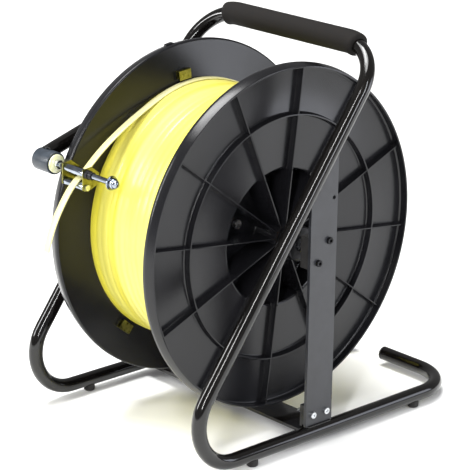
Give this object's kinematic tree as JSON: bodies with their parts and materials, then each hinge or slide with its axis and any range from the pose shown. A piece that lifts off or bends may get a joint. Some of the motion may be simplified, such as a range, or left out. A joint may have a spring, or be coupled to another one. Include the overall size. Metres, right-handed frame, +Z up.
{
  "type": "fish tape reel",
  "caption": "Floor-standing fish tape reel: a ribbed spool of flat tape turning between the sides of a bent-tube carrying frame, with a roller guide on an arm.",
  "frame": {"origin": "on the floor, under the middle of the reel without its free tape end", "axes": "+X along the axle, away from the guide arm's side; +Y to the rear, under the handle; -Y to the front, where the tape comes off; +Z up"},
  "size_m": [0.382, 0.5933, 0.5724],
  "materials": {
    "stand_enamel": "gloss black enamel",
    "upright_enamel": "satin dark grey enamel",
    "rubber": "moulded black rubber",
    "foam": "closed-cell foam",
    "zinc": "bright zinc plate",
    "yellow_zinc": "yellow chromate zinc plate",
    "steel": "turned steel",
    "bright_steel": "polished chrome plate",
    "black_oxide": "black oxide",
    "axle_block": "moulded black",
    "sleeve": "satin dark blue-grey",
    "spool": "moulded black, satin",
    "bronze": "sintered bronze",
    "tape": "smooth pale yellow coated tape"
  },
  "bodies": {
    "stand": {"frame_tube_left": "stand_enamel", "frame_tube_right": "stand_enamel", "end_plug_left": "rubber", "end_plug_right": "rubber", "foot_front_left": "rubber", "foot_front_right": "rubber", "foot_rear_left": "rubber", "foot_rear_right": "rubber", "upright_left": "upright_enamel", "upright_right": "upright_enamel", "spacer_block_left": "stand_enamel", "spacer_block_right": "stand_enamel", "base_screw_front_left": "zinc", "base_screw_front_right": "zinc", "base_nut_front_left": "zinc", "base_nut_front_right": "zinc", "base_screw_rear_left": "zinc", "base_screw_rear_right": "zinc", "base_nut_rear_left": "zinc", "base_nut_rear_right": "zinc", "cross_bar": "stand_enamel", "handle_spigot": "steel", "foam_grip": "foam", "axle": "steel", "axle_block_left": "axle_block", "axle_block_right": "axle_block", "axle_collar_left": "black_oxide", "axle_collar_right": "black_oxide", "axle_screw_lower_left": "black_oxide", "axle_screw_lower_right": "black_oxide", "axle_screw_upper_left": "black_oxide", "axle_screw_upper_right": "black_oxide", "guide_arm": "stand_enamel", "guide_sleeve": "sleeve", "guide_rod": "bright_steel", "rod_outer_nut": "zinc", "sleeve_washer": "yellow_zinc", "rod_inner_nut": "zinc", "rod_end_washer": "bright_steel", "rod_cap_nut": "bright_steel"},
    "drum": {"spool_half_left": "spool", "spool_half_right": "spool", "hub_bush_left": "bronze", "hub_bush_right": "bronze", "tie_bolt_1": "zinc", "tie_bolt_2": "zinc", "tie_bolt_3": "zinc", "tie_nut_1": "zinc", "tie_nut_2": "zinc", "tie_nut_3": "zinc", "tape_winding": "tape", "tape_hook_upper": "yellow_zinc", "tape_hook_lower": "yellow_zinc"},
    "carriage": {"guide_bracket": "yellow_zinc", "guide_bush_left": "black_oxide", "guide_bush_right": "black_oxide", "lower_roller_pin": "zinc", "tape_strand": "tape"},
    "upper_roller_body": {"upper_roller": "bright_steel"},
    "lower_roller_body": {"lower_roller": "bright_steel"}
  },
  "joints": [
    {"name": "drum_spin", "type": "hinge", "parent": "stand", "child": "drum", "pos_m": [0, -0.02477, 0.286], "axis": [1, 0, 0], "continuous": true},
    {"name": "guide_slide", "type": "slide", "parent": "stand", "child": "carriage", "axis": [1, 0, 0], "range_m": [0, 0.036]},
    {"name": "upper_roller_spin", "type": "hinge", "parent": "carriage", "child": "upper_roller_body", "pos_m": [0, -0.25938, 0.3898], "axis": [1, 0, 0], "continuous": true},
    {"name": "lower_roller_spin", "type": "hinge", "parent": "carriage", "child": "lower_roller_body", "pos_m": [0, -0.26017, 0.3708], "axis": [1, 0, 0], "continuous": true}
  ]
}
